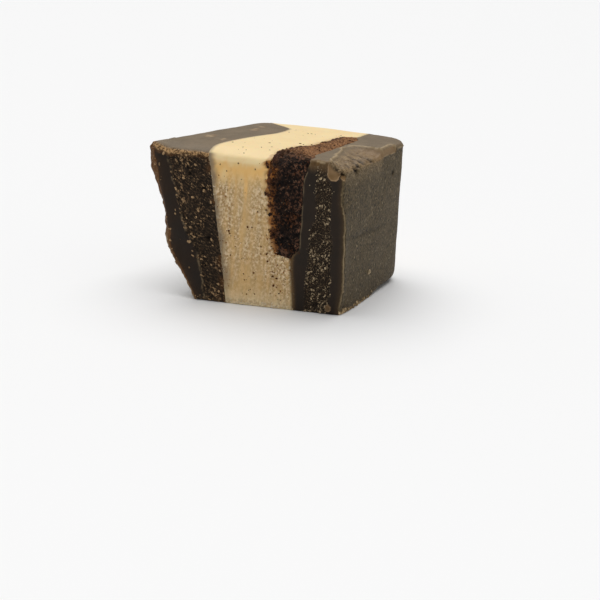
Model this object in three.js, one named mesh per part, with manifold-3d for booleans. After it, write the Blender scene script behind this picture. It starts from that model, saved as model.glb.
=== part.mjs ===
// One hand-cut piece of layered fudge, lying on a cut face so that its layers stand upright:
// chocolate, cream with a chunk of cookie sunk in it, and chocolate again.
// Millimetres, +X across the layers, +Y away from the crumbled front, +Z up. The origin is under
// the middle of the piece, on the face that it rests on.
import * as THREE from 'three';
import { mergeVertices } from 'three/addons/utils/BufferGeometryUtils.js';
import { SimplexNoise } from 'three/addons/math/SimplexNoise.js';
import Module from 'manifold-3d';

const { clamp, lerp, smoothstep, seededRandom } = THREE.MathUtils;

// Walls of the piece, measured from its front bottom right corner. A lean is mm of x for each mm of y.
const frontWall = { bottomLeft: -4.6, bottomRight: -0.5, topLeft: -0.8, topRight: -0.4 };
const backWall = { bottomLeft: 33.0, bottomRight: 33.8, topLeft: 35.2, topRight: 34.2 };
const rightWall = { bottom: 0, top: -1.2, bottomLean: 0.085, topLean: 0.118 };
const leftLean = { bottom: 0.11, top: 0.29 };
const topHeight = { frontLeft: 30.25, frontRight: 30, backLeft: 31, backRight: 30.5, crown: 0.45 };
const middle = { x: -19.73, y: 15.37 };

// Up the left skin at the front: heights with their x, tucked under at the foot
const leftProfile = [
  [0, -30.8], [4.5, -33.1], [7.3, -35.3], [9.3, -36.7], [11.6, -37.6],
  [16.3, -38.3], [22, -40.2], [27, -42.1], [30, -42.6],
];

// The box that the rounding works in, with the radii of its edges and of its upright corners
const box = { x: 38, y: 35, z: 30 };
const edgeRadius = { bottom: 0.45, top: 0.95 };
const cornerRadius = { frontLeft: 1.5, frontRight: 1.2, backLeft: 3.5, backRight: 6 };

// Where the layers meet, as x on the front face, with how the joints drift towards the back
const leftJoint = { bottom: -23.05, slope: -0.203, swing: 6.1, swingFrom: 4, swingTo: 26 };
const leftCurl = { reach: 7, from: 27.5, to: 35 };
const rightJoint = { bottom: -9.7, pinch: 0.9, pinchTo: 10, drift: 4.2 };
const gap = 0.3;

// The cookie fills a quarter of a superellipse below the front edge of the top
const cookie = { length: 28.5, depth: 20, power: 2.6, rim: 8 };
const cookieLeft = { back: 3.8, front: 6.3, rim: 0.6, stepFrom: 10.5, stepTo: 15 };
const cookieRight = { reach: 1.6, rim: 0.3 };
const cutOver = 3;

// Crumbled surfaces: depth of the hollows, height of the crags and their size
const chocolateCrags = { sunk: 0.25, height: 0.35, width: 1.5, length: 2.4 };
const creamCrags = { sunk: 0.05, height: 0.16, width: 1.6, length: 7 };
const cookieCrags = { sunk: 0.3, height: 0.4, width: 1.7, length: 1.7 };
const cragReach = 3;
const skinWave = { height: 0.22, length: 9 };
const leftBand = { bottom: -27.6, slope: -0.38, blend: 1.2 };
const rightBand = { left: -7.6, right: -3.0, blend: 0.9 };

// The chipped edge along the top of the right skin: wide in front of the break, narrow behind it
const chip = { drop: 1.5, power: 0.7, inFront: -4.1, inDeep: -6.6, inBack: 0.6 };
const chipBreak = { deepAt: 14, from: 16, to: 19, endFrom: 24.5, endTo: 27.5 };
const chipCrags = { height: 0.3, size: 2.2 };

const crumbSeed = 27;
seededRandom(crumbSeed);
const noise = new SimplexNoise({ random: () => seededRandom() });

const layerSegments = { x: 10, y: 19, z: 22 };
const cookieSegments = { x: 7, y: 15, z: 12 };
const edgeCrowding = 0.55;
const mergeWithin = 1e-6;

function bilinear(corners, a, c) {
  const bottom = lerp(corners.bottomLeft, corners.bottomRight, a);
  const top = lerp(corners.topLeft, corners.topRight, a);
  return lerp(bottom, top, c);
}

// A bent line through a few points, each a place with its value
function along(points, place) {
  const next = points.findIndex((point) => point[0] > place);
  const i = next < 0 ? points.length - 1 : Math.max(1, next);
  const [[from, low], [to, high]] = [points[i - 1], points[i]];
  return lerp(low, high, clamp((place - from) / (to - from), 0, 1));
}

// The skins that bound the layers, as x at a depth b and height c, both from 0 to 1
function leftSkin(b, c) {
  return along(leftProfile, c * box.z) + lerp(leftLean.bottom, leftLean.top, c) * b * box.y;
}

function rightSkin(b, c) {
  const lean = lerp(rightWall.bottomLean, rightWall.topLean, c);
  return lerp(rightWall.bottom, rightWall.top, c) + lean * b * box.y;
}

// The joints between the layers. The left one swings right along the top and curls back at the end.
function leftJointX(b, c) {
  const y = b * box.y;
  const swing = leftJoint.swing * smoothstep(y, leftJoint.swingFrom, leftJoint.swingTo);
  const curl = leftCurl.reach * smoothstep(y, leftCurl.from, leftCurl.to);
  return leftJoint.bottom + leftJoint.slope * c * box.z + c * (swing - curl);
}

function rightJointX(b, c) {
  const pinch = rightJoint.pinch * smoothstep(c * box.z, 0, rightJoint.pinchTo);
  return rightJoint.bottom - pinch + rightJoint.drift * b * c;
}

// A shell of one radius round an inner box is drawn in from square to round
function roundShell(point, sizes, radii) {
  const inner = point.map((value, i) => clamp(value, radii[i], sizes[i] - radii[i]));
  const out = point.map((value, i) => value - inner[i]);
  const length = Math.hypot(...out);
  const reach = Math.max(...out.map(Math.abs));
  const scale = length > 0 ? reach / length : 1;
  return inner.map((value, i) => value + out[i] * scale);
}

function roundBox(a, b, c) {
  const sizes = [box.x, box.y, box.z];
  const edge = lerp(edgeRadius.bottom, edgeRadius.top, c);
  const edged = roundShell([a * box.x, b * box.y, c * box.z], sizes, [edge, edge, edge]);
  const end = b < 0.5 ? 'front' : 'back';
  const side = a < 0.5 ? 'Left' : 'Right';
  const radius = cornerRadius[end + side];
  const plan = roundShell(edged.slice(0, 2), sizes.slice(0, 2), [radius, radius]);
  return [plan[0] / box.x, plan[1] / box.y, edged[2] / box.z];
}

// Slow waves that keep the uncut skins and the top from being flat
function wave(p, q) {
  return skinWave.height * noise.noise(p / skinWave.length, q / skinWave.length);
}

function nearWall(distance) {
  return 1 - smoothstep(distance, 0, cragReach);
}

// Carries a point, given as x between the skins with a depth b and a height c, to its place: the edges
// are rounded, the walls slanted, and then the crags, the waves and the bevel move it near the surface
function place(x, b, c, crags, bevel) {
  const left = leftSkin(b, c);
  const [a1, b1, c1] = roundBox((x - left) / (rightSkin(b, c) - left), b, c);
  const at = new THREE.Vector3();
  at.x = lerp(leftSkin(b1, c1), rightSkin(b1, c1), a1);
  at.y = lerp(bilinear(frontWall, a1, c1), bilinear(backWall, a1, c1), b1);
  const front = lerp(topHeight.frontLeft, topHeight.frontRight, a1);
  const back = lerp(topHeight.backLeft, topHeight.backRight, a1) + topHeight.crown * Math.sin(Math.PI * a1);
  at.z = c1 * lerp(front, back, b1);
  const onSkin = nearWall((1 - a1) * box.x) - nearWall(a1 * box.x);
  const onTop = nearWall((1 - c1) * box.z);
  const shift = new THREE.Vector3(onSkin * wave(at.y, at.z), 0, 0);
  shift.y = nearWall(b1 * box.y) * crags(at.x, at.z) - nearWall((1 - b1) * box.y) * wave(at.x, at.z);
  shift.z = onTop * (wave(at.x, at.y) * (1 - nearWall(b1 * box.y)) - bevel(at.x, at.y));
  return at.add(shift);
}

// Crumbled cut: sunk below the wall and broken into crags, where the share of roughness says so
function crumble(kind, share, x, z) {
  return share * (kind.sunk + kind.height * noise.noise(x / kind.width, z / kind.length));
}

function leftCrags(x, z) {
  const band = leftBand.bottom + leftBand.slope * z;
  return crumble(chocolateCrags, smoothstep(x, band, band + leftBand.blend), x, z);
}

function rightCrags(x, z) {
  const from = smoothstep(x, rightBand.left, rightBand.left + rightBand.blend);
  const to = 1 - smoothstep(x, rightBand.right - rightBand.blend, rightBand.right);
  return crumble(chocolateCrags, from * to, x, z);
}

const creamStreaks = (x, z) => crumble(creamCrags, 1, x, z);
const cookieCrumb = (x, z) => crumble(cookieCrags, 1, x, z);
const noBevel = () => 0;

// The chip slopes from its inner edge, which wanders inwards to a break, down to the right skin
function chipDrop(x, y) {
  const wander = lerp(chip.inFront, chip.inDeep, smoothstep(y, 0, chipBreak.deepAt));
  const inner = lerp(wander, chip.inBack, smoothstep(y, chipBreak.from, chipBreak.to));
  const outer = rightSkin(y / box.y, 1);
  const share = clamp((x - inner) / (outer - inner), 0, 1);
  const crags = chipCrags.height * noise.noise(x / chipCrags.size, y / chipCrags.size);
  const fall = chip.drop * Math.pow(share, chip.power) + Math.sin(Math.PI * share) * crags;
  return fall * (1 - smoothstep(y, chipBreak.endFrom, chipBreak.endTo));
}

// Grid lines crowd towards both ends, so that the edges are round
function crowd(t) {
  return t - edgeCrowding * Math.sin(2 * Math.PI * t) / (2 * Math.PI);
}

// A box of grid cells whose corners, each three numbers from 0 to 1, are carried to their places
function carriedBox(segments, carry) {
  const grid = new THREE.BoxGeometry(1, 1, 1, segments.x, segments.y, segments.z);
  grid.deleteAttribute('normal');
  grid.deleteAttribute('uv');
  const geometry = mergeVertices(grid, mergeWithin);
  const spots = geometry.getAttribute('position');
  for (let i = 0; i < spots.count; i++) {
    const spot = carry(spots.getX(i) + 0.5, spots.getY(i) + 0.5, spots.getZ(i) + 0.5);
    spots.setXYZ(i, spot.x, spot.y, spot.z);
  }
  return geometry;
}

function layer(from, to, crags, bevel = noBevel) {
  return carriedBox(layerSegments, (s, t, u) => {
    const b = crowd(t);
    const c = crowd(u);
    return place(lerp(from(b, c), to(b, c), s), b, c, crags, bevel);
  });
}

// Cookie thickness to each side of the right joint, blunt at its rim. y and down run from the front top edge.
function cookieSides(y, down) {
  const rho = Math.hypot(y / cookie.length, down / cookie.depth);
  const blunt = Math.sqrt(Math.max(0, 1 - Math.pow(Math.min(rho, 1), cookie.rim)));
  const step = smoothstep(y, cookieLeft.stepFrom, cookieLeft.stepTo);
  const left = lerp(cookieLeft.front, cookieLeft.back, Math.max(step, down / cookie.depth));
  const right = lerp(cookieRight.rim, cookieRight.reach, blunt);
  return { left: left * lerp(cookieLeft.rim, 1, blunt), right };
}

// The square u, w is drawn in to the superellipse. A socket has one more row of cells at the front and at
// the top, which carries it out through both.
function cookieBody(grow, socketRows) {
  const cells = { x: cookieSegments.x, y: cookieSegments.y + socketRows, z: cookieSegments.z + socketRows };
  const inward = (t, count) => Math.round(t * (count + socketRows)) - socketRows;
  return carriedBox(cells, (s, t, v) => {
    const back = inward(t, cookieSegments.y);
    const under = inward(1 - v, cookieSegments.z);
    const u = Math.max(0, back) / cookieSegments.y;
    const w = Math.max(0, under) / cookieSegments.z;
    const radius = Math.pow(Math.pow(u, cookie.power) + Math.pow(w, cookie.power), 1 / cookie.power);
    const scale = radius > 0 ? Math.max(u, w) / radius : 1;
    const y = back < 0 ? -cutOver : u * scale * (cookie.length + grow);
    const down = under < 0 ? -cutOver : w * scale * (cookie.depth + grow);
    const b = y / box.y;
    const c = 1 - down / box.z;
    const sides = cookieSides(u * scale * cookie.length, w * scale * cookie.depth);
    const joint = rightJointX(b, c);
    return place(lerp(joint - sides.left - grow, joint + sides.right + grow, s), b, c, cookieCrumb, noBevel);
  });
}

const wasm = await Module();
wasm.setup();

function toSolid(geometry) {
  const vertProperties = new Float32Array(geometry.getAttribute('position').array);
  const triVerts = new Uint32Array(geometry.getIndex().array);
  return new wasm.Manifold(new wasm.Mesh({ numProp: 3, vertProperties, triVerts }));
}

function cutOut(geometry, cutter) {
  const mesh = toSolid(geometry).subtract(toSolid(cutter)).getMesh();
  const cut = new THREE.BufferGeometry();
  cut.setAttribute('position', new THREE.BufferAttribute(new Float32Array(mesh.vertProperties), 3));
  cut.setIndex(new THREE.BufferAttribute(new Uint32Array(mesh.triVerts), 1));
  return cut;
}

function addPart(name, geometry, color, roughness) {
  geometry.computeVertexNormals();
  const mesh = new THREE.Mesh(geometry, new THREE.MeshStandardMaterial({ color, roughness, metalness: 0 }));
  mesh.name = name;
  piece.add(mesh);
}

const piece = new THREE.Group();
piece.position.set(-middle.x, -middle.y, 0);

const leftEnd = (b, c) => leftJointX(b, c) - gap / 2;
const creamStart = (b, c) => leftJointX(b, c) + gap / 2;
const creamEnd = (b, c) => rightJointX(b, c) - gap / 2;
const rightStart = (b, c) => rightJointX(b, c) + gap / 2;
const socket = cookieBody(gap, 1);

const leftLayer = layer(leftSkin, leftEnd, leftCrags);
const creamLayer = cutOut(layer(creamStart, creamEnd, creamStreaks), socket);
const rightLayer = cutOut(layer(rightStart, rightSkin, rightCrags, chipDrop), socket);

addPart('chocolate_layer_left', leftLayer, 0x453a2e, 0.6);
addPart('cream_layer', creamLayer, 0xe8cc98, 0.5);
addPart('chocolate_layer_right', rightLayer, 0x4a4034, 0.6);
addPart('cookie_chunk', cookieBody(0, 0), 0x35190d, 0.9);

export default piece;
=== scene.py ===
import bpy
import numpy as np
from mathutils import Matrix, Vector


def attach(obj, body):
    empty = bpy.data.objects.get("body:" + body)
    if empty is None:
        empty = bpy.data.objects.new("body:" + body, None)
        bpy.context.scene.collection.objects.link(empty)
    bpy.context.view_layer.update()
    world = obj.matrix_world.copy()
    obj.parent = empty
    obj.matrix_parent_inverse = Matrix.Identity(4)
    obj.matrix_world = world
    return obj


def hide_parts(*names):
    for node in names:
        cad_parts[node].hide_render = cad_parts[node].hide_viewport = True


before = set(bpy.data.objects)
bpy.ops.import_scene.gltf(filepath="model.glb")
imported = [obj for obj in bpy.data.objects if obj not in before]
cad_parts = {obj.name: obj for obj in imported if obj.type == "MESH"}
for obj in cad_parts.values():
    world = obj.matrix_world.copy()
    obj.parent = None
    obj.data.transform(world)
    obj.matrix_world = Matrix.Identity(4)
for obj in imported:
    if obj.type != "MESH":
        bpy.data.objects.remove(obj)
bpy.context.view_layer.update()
print("frame loaded:", sorted(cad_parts))

dice = np.random.default_rng(27)


# Small helpers on whole arrays

def mix(low, high, share):
    return low + (high - low) * share


def ramp(value, low, high):  # smooth step from 0 at low to 1 at high
    share = np.clip((value - low) / (high - low), 0, 1)
    return share * share * (3 - 2 * share)


def fade(value, low, high):  # smooth step from 1 at low to 0 at high
    return 1 - ramp(value, low, high)


def bell(value, centre, width):
    return np.exp(-((value - centre) / width) ** 2)


def along(value, points):  # a bent line through a few (place, height) points
    places, heights = zip(*points)
    return np.interp(value, places, heights)


def softAlong(value, points, reach):  # the same, with its bends rounded over the reach
    return (along(value - reach, points) + 2 * along(value, points) + along(value + reach, points)) / 4


def slantTurn(degrees):  # turns spots so that their last axis runs that far from upright, to the left
    turn = np.radians(degrees)
    return np.array([[np.cos(turn), 0, -np.sin(turn)], [0, 1, 0], [np.sin(turn), 0, np.cos(turn)]])


def dents(p, q, places):  # round hollows, each a (p, q, radius), 1 in their middle
    total = np.zeros(len(p))
    for middleP, middleQ, radius in places:
        total += np.exp(-((p - middleP) ** 2 + (q - middleQ) ** 2) / radius ** 2)
    return np.clip(total, 0, 1)


latticeSide = 64
lattice = dice.random((latticeSide,) * 3)
latticeSpots = dice.random((latticeSide,) * 3 + (3,))
latticeTilt = np.linalg.qr(dice.standard_normal((3, 3)))[0]


# Value noise: random numbers on a tilted lattice with cells of that size, blended smoothly, from -1 to 1.
# Three sizes stretch it, and then the lattice isn't tilted.
def cloud(spots, size, seed=0):
    cell = (spots @ latticeTilt if np.ndim(size) == 0 else spots) / size + seed * 7.31
    base = np.floor(cell).astype(int)
    part = cell - base
    part = part * part * (3 - 2 * part)
    total = np.zeros(len(spots))
    for corner in np.ndindex(2, 2, 2):
        index = (base + corner) % latticeSide
        weight = np.prod(np.where(corner, part, 1 - part), axis=1)
        total += weight * lattice[index[:, 0], index[:, 1], index[:, 2]]
    return total * 2 - 1


# Cell noise: one random point in each lattice cell, 1 at the nearest of them and 0 one cell away
def grit(spots, size, seed=0):
    cell = spots / size + seed * 5.17
    base = np.floor(cell).astype(int)
    nearest = np.full(len(spots), 9.0)
    for corner in np.ndindex(3, 3, 3):
        index = base + corner - 1
        inside = index % latticeSide
        point = index + latticeSpots[inside[:, 0], inside[:, 1], inside[:, 2]]
        nearest = np.minimum(nearest, np.linalg.norm(cell - point, axis=1))
    return 1 - np.minimum(nearest, 1)


def lumpy(spots, size, seed):  # the same about its mean
    return grit(spots, size, seed) - 0.45


mm = 0.001  # in metres

# The piece in mm from its front bottom right corner, with the walls that the solids have
block = {
    "size": np.array([38.0, 35.0, 30.0]),
    "middle": np.array([-19.73, 15.37, 0.0]),
    "frontWall": (-4.6, -0.5, -0.8, -0.4),  # bottom left, bottom right, top left, top right
    "backWall": (33.0, 33.8, 35.2, 34.2),
    "rightWall": (0.0, -1.2), "rightLean": (0.085, 0.118),  # at the bottom and the top
    "leftProfile": ((0, -30.0), (4.5, -33.0), (7.3, -35.3), (9.3, -36.7), (11.6, -37.6),
                    (16.3, -38.3), (22, -40.2), (27, -42.3), (30, -42.8)),
    "profileSoft": 1.0, "leftLean": (0.11, 0.29),
    "topFront": (30.25, 30.0), "topBack": (31.0, 30.5), "crown": 0.45,
    "edgeBottom": 0.45, "edgeTop": 0.95,
    "corners": (1.5, 0.6, 3.5, 6.0),  # front left, front right, back left, back right
    "leftJoint": -23.2, "leftJointSlope": -0.203, "swing": 6.1, "swingSpan": (4, 26),
    "curl": 7.0, "curlSpan": (28.4, 35.3),
    "rightJoint": -9.7, "pinch": 0.9, "pinchTo": 10.0, "rightJointDrift": 4.2,
    "lap": 0.06,  # neighbours reach this far past their joint
    "crowding": 0.45, "sharpFrom": 1.1,
}
pieceDepth, pieceHeight = block["size"][1:]


def leftSkin(b, c):
    profile = softAlong(c * pieceHeight, block["leftProfile"], block["profileSoft"])
    return profile + mix(*block["leftLean"], c) * b * pieceDepth


def rightSkin(b, c):
    return mix(*block["rightWall"], c) + mix(*block["rightLean"], c) * b * pieceDepth


# The left joint swings right along the top and curls back at its end
def leftJoint(b, c):
    y = b * pieceDepth
    swing = block["swing"] * ramp(y, *block["swingSpan"]) - block["curl"] * ramp(y, *block["curlSpan"])
    return block["leftJoint"] + block["leftJointSlope"] * c * pieceHeight + c * swing


def rightJoint(b, c):
    pinch = block["pinch"] * ramp(c * pieceHeight, 0, block["pinchTo"])
    return block["rightJoint"] - pinch + block["rightJointDrift"] * b * c


def wallAt(wall, a, c):
    return mix(mix(wall[0], wall[1], a), mix(wall[2], wall[3], a), c)


# A shell round an inner box is drawn in from square to round: each offset keeps its largest part as length,
# or in the corners the least length that is given
def roundShell(flat, size, radius, least=0.0):
    inner = np.clip(flat, radius, size - radius)
    out = flat - inner
    length = np.linalg.norm(out, axis=1, keepdims=True)
    reach = np.abs(out).max(axis=1, keepdims=True)
    reach = np.where((out != 0).all(axis=1, keepdims=True), np.maximum(reach, least), reach)
    ways = out / np.maximum(length, 1e-9)
    return inner + ways * reach, ways, reach / radius


# Carries x between the skins, depth b and height c to its place. Also gives the way out of the piece,
# how near the surface it is (1 on it) and the rounded shares of width, depth and height.
def carry(x, b, c, edgeTop=None, edgeBottom=None):
    size = block["size"]
    left = leftSkin(b, c)
    a = (x - left) / (rightSkin(b, c) - left)
    flat = np.stack([a, b, c], axis=1) * size
    edgeTop = block["edgeTop"] if edgeTop is None else edgeTop
    edgeBottom = block["edgeBottom"] if edgeBottom is None else edgeBottom
    edge = mix(edgeBottom, edgeTop, c)
    edged, ways, near = roundShell(flat, size, edge[:, None])
    frontLeft, frontRight, backLeft, backRight = block["corners"]
    atFront, atBack = np.where(a < 0.5, frontLeft, frontRight), np.where(a < 0.5, backLeft, backRight)
    radius = np.where(b < 0.5, atFront, atBack)
    level = np.linalg.norm(ways[:, :2], axis=1, keepdims=True)
    wall = radius[:, None] - edge[:, None] * (1 - level * near)
    wall = np.where((level > 0) & (b > 0.5)[:, None], wall, 0)
    plan, planWays, planNear = roundShell(edged[:, :2], size[:2], radius[:, None], wall)
    sideways = np.where(planNear > 0, planWays, ways[:, :2] / np.maximum(level, 1e-9))
    outward = np.concatenate([sideways * level, ways[:, 2:]], axis=1)
    share = np.concatenate([plan, edged[:, 2:]], axis=1) / size
    a, b, c = share.T
    x = mix(leftSkin(b, c), rightSkin(b, c), a)
    y = mix(wallAt(block["frontWall"], a, c), wallAt(block["backWall"], a, c), b)
    z = c * mix(mix(*block["topFront"], a), mix(*block["topBack"], a) + block["crown"] * np.sin(np.pi * a), b)
    return np.stack([x, y, z], axis=1), outward, near[:, 0], share


# How far a surface faces each way, and how much it is on a rounded edge between two ways
def facing(outward):
    x, y, z = outward.T
    ways = {"front": -y, "right": x, "top": z, "bottom": -z}
    ways = {name: np.maximum(value, 0) for name, value in ways.items()}
    sides = {name: ramp(value, 0.45, 0.9) for name, value in ways.items()}
    sides["rightTop"] = 2 * ways["right"] * ways["top"]
    sides["rightBottom"] = 2 * ways["right"] * ways["bottom"]
    return sides


def skinWaves(spots):  # slow waves that the top and the skins share
    return 0.14 * cloud(spots, 8.0, 6) + 0.03 * cloud(spots, 1.7, 7)


def knifeDrag(spots):  # upright lines that the knife left
    return 0.035 * cloud(spots, (0.55, 0.55, 6.0), 5)


def belowTop(share, reach):  # 1 on the top, 0 from that far below it
    return fade((1 - share[:, 2]) * pieceHeight, 0, reach)


# How far the top sags towards the front edge: the whole depth there, falling off with the square of the
# distance, and less below the top
def frontSag(spots, share, depth, reach):
    back = np.maximum(0, reach - spots[:, 1]) / reach
    return depth * back ** 2 * belowTop(share, 4)


def crowd(t, amount):  # grid lines gather towards both ends
    return t - amount * np.sin(2 * np.pi * t) / (2 * np.pi)


# The six sides of a box of grid cells, each corner once, as shares from 0 to 1 with its outward quads
def boxGrid(cells):
    sides = tuple(count + 1 for count in cells)
    step = (sides[1] * sides[2], sides[2], 1)
    quads = []
    for fixed in range(3):
        p, q = (fixed + 1) % 3, (fixed + 2) % 3
        rows, columns = np.meshgrid(np.arange(cells[p]), np.arange(cells[q]), indexing="ij")
        for level, turns in ((0, ((0, 0), (0, 1), (1, 1), (1, 0))),
                             (cells[fixed], ((0, 0), (1, 0), (1, 1), (0, 1)))):
            corners = [level * step[fixed] + (rows + i) * step[p] + (columns + j) * step[q] for i, j in turns]
            quads.append(np.stack(corners, axis=-1).reshape(-1, 4))
    used, quads = np.unique(np.concatenate(quads), return_inverse=True)
    spots = np.stack(np.unravel_index(used, sides), axis=1) / np.array(cells)
    return spots, quads.reshape(-1, 4)


# Puts mm spots into a mesh in metres, with one number per vertex for each named mark
def addPiece(name, spots, polygons, marks, material, nodeName=None):
    mesh = bpy.data.meshes.new(name)
    places = (spots - block["middle"]) * mm
    places[:, 2] = np.maximum(places[:, 2], 0)  # nothing under the face that it rests on
    mesh.from_pydata(places.tolist(), [], polygons.tolist())
    mesh.polygons.foreach_set("use_smooth", np.full(len(polygons), nodeName is not None))
    for label, values in marks.items():
        attribute = mesh.attributes.new(label, "FLOAT", "POINT")
        attribute.data.foreach_set("value", np.clip(values, 0, 1).astype(np.float32))
    mesh.materials.append(material)
    mesh.update()
    if nodeName:
        mesh.set_sharp_from_angle(angle=block["sharpFrom"])
    piece = bpy.data.objects.new(name, mesh)
    bpy.context.scene.collection.objects.link(piece)
    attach(piece, "root")
    if nodeName:
        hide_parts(nodeName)
    print(name, len(polygons), "faces")


# Node helpers

def screen(red, green, blue):  # a colour as seen on screen, 0 to 255, to linear light
    value = np.array([red, green, blue]) / 255
    value = np.where(value > 0.04045, ((value + 0.055) / 1.055) ** 2.4, value / 12.92)
    return (*value, 1.0)


def feed(tree, socket, value):
    if isinstance(value, bpy.types.NodeSocket):
        tree.links.new(value, socket)
    else:
        socket.default_value = value


def addNode(tree, kind, settings=None, inputs=None):
    node = tree.nodes.new("ShaderNode" + kind)
    for name, value in (settings or {}).items():
        setattr(node, name, value)
    for name, value in (inputs or {}).items():
        feed(tree, node.inputs[name], value)
    return node


def blend(tree, share, low, high):
    node = addNode(tree, "Mix", {"data_type": "RGBA", "clamp_factor": True})
    for index, value in ((0, share), (6, low), (7, high)):
        feed(tree, node.inputs[index], value)
    return node.outputs[2]


def maths(tree, kind, first, second, clamp=False):
    node = addNode(tree, "Math", {"operation": kind, "use_clamp": clamp})
    feed(tree, node.inputs[0], first)
    feed(tree, node.inputs[1], second)
    return node.outputs[0]


def times(tree, first, second, clamp=False):
    return maths(tree, "MULTIPLY", first, second, clamp)


def between(tree, value, low, high, bottom=0.0, top=1.0):
    limits = {"Value": value, "From Min": low, "From Max": high, "To Min": bottom, "To Max": top}
    return addNode(tree, "MapRange", {"interpolation_type": "SMOOTHSTEP"}, limits).outputs["Result"]


def mark(tree, name):
    return addNode(tree, "Attribute", {"attribute_name": name}).outputs["Fac"]


# Object coordinates in mm, stretched along their axes after a turn about the depth axis
def objectSpots(tree, stretch=(1, 1, 1), turn=0.0):
    spots = addNode(tree, "TexCoord").outputs["Object"]
    scale = tuple(mm * part for part in stretch)
    given = {"Vector": spots, "Rotation": (0, np.radians(turn), 0), "Scale": scale}
    return addNode(tree, "Mapping", {"vector_type": "TEXTURE"}, given).outputs["Vector"]


def addGroup(name, inputs, outputs):
    group = bpy.data.node_groups.new(name, "ShaderNodeTree")
    for label, kind, value in inputs:
        socket = group.interface.new_socket(label, in_out="INPUT", socket_type="NodeSocket" + kind)
        if value is not None:
            socket.default_value = value
    for label in outputs:
        group.interface.new_socket(label, in_out="OUTPUT", socket_type="NodeSocketFloat")
    return group, group.nodes.new("NodeGroupInput"), group.nodes.new("NodeGroupOutput")


# Soft uneven tone of fudge: slow clouds, mottles of about 1 mm and a fine grain, each from 0 to 1
def waxGroup():
    group, given, result = addGroup("waxTone", [("Vector", "Vector", None)], ["Cloud", "Mottle", "Grain"])
    for label, scale, spread in (("Cloud", 0.28, 0.2), ("Mottle", 1.0, 0.2), ("Grain", 3.2, 0.22)):
        noise = addNode(group, "TexNoise", None, {"Vector": given.outputs[0], "Scale": scale, "Detail": 3.0})
        feed(group, result.inputs[label], between(group, noise.outputs["Fac"], 0.5 - spread, 0.5 + spread))
    return group


# Flakes: where a noise rises above the level, with an edge of that softness. The tone differs between them.
def flakeGroup():
    inputs = [("Vector", "Vector", None), ("Scale", "Float", 2.0), ("Level", "Float", 0.58),
              ("Soft", "Float", 0.05)]
    group, given, result = addGroup("flakes", inputs, ["Mask", "Tone"])
    spots, scale = given.outputs["Vector"], given.outputs["Scale"]
    noise = {"Vector": spots, "Scale": scale, "Detail": 2.5, "Roughness": 0.6}
    shape = addNode(group, "TexNoise", None, noise)
    over = maths(group, "SUBTRACT", shape.outputs["Fac"], given.outputs["Level"])
    feed(group, result.inputs["Mask"], maths(group, "DIVIDE", over, given.outputs["Soft"], True))
    slow = times(group, scale, 0.45)
    tone = addNode(group, "TexNoise", None, {"Vector": spots, "Scale": slow, "Detail": 1.0})
    feed(group, result.inputs["Tone"], between(group, tone.outputs["Fac"], 0.35, 0.65))
    return group


waxTone = waxGroup()
flakes = flakeGroup()


def useGroup(tree, group, inputs):
    node = tree.nodes.new("ShaderNodeGroup")
    node.node_tree = group
    for name, value in inputs.items():
        feed(tree, node.inputs[name], value)
    return node.outputs


def toneAt(tree, spots):
    return useGroup(tree, waxTone, {"Vector": spots})


def flakesAt(tree, spots, scale, level, soft):
    return useGroup(tree, flakes, {"Vector": spots, "Scale": scale, "Level": level, "Soft": soft})


def newMaterial(name, fixed):  # fixed: shader sockets that are the same all over
    material = bpy.data.materials.new(name)
    material.use_nodes = True
    tree = material.node_tree
    shader = tree.nodes["Principled BSDF"]
    for socket, value in fixed.items():
        shader.inputs[socket].default_value = value
    return material, tree, shader


def addBump(tree, shader, height, strength, distance):
    node = addNode(tree, "Bump", None, {"Height": height, "Strength": strength, "Distance": distance})
    feed(tree, shader.inputs["Normal"], node.outputs["Normal"])


chocolateLook = {
    "cut": screen(40, 34, 29), "cutWarm": screen(44, 33, 24),
    "skin": screen(33, 28, 19), "skinLight": screen(100, 86, 61),
    # the top's tones are painted paler than the cut: a painted sheen
    "cap": screen(117, 100, 77), "capDark": screen(101, 86, 65),
    "crumb": screen(36, 29, 22), "crumbLight": screen(80, 63, 47),
    "fleck": screen(152, 124, 92), "fleckDark": screen(88, 68, 50),
    "rim": screen(198, 158, 110), "rimDark": screen(96, 72, 46), "warm": screen(107, 72, 40),
    "smear": screen(182, 150, 114), "smearDark": screen(122, 94, 58), "ridge": screen(172, 150, 116),
    # near black painted shade for pits, cracks and creases
    "hollow": screen(13, 9, 6),
    "flakeShape": (1, 1, 3.0), "flakeTurn": -55.0,
    "flake": (4.2, 0.56, 0.07), "grain": (5.0, 0.52, 0.08), "dust": (2.4, 0.58, 0.1),  # scale, level, soft
    "roughCut": 0.45, "roughSkin": 0.62, "roughCrumb": 0.85, "bump": (0.6, 0.00012),
}
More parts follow.
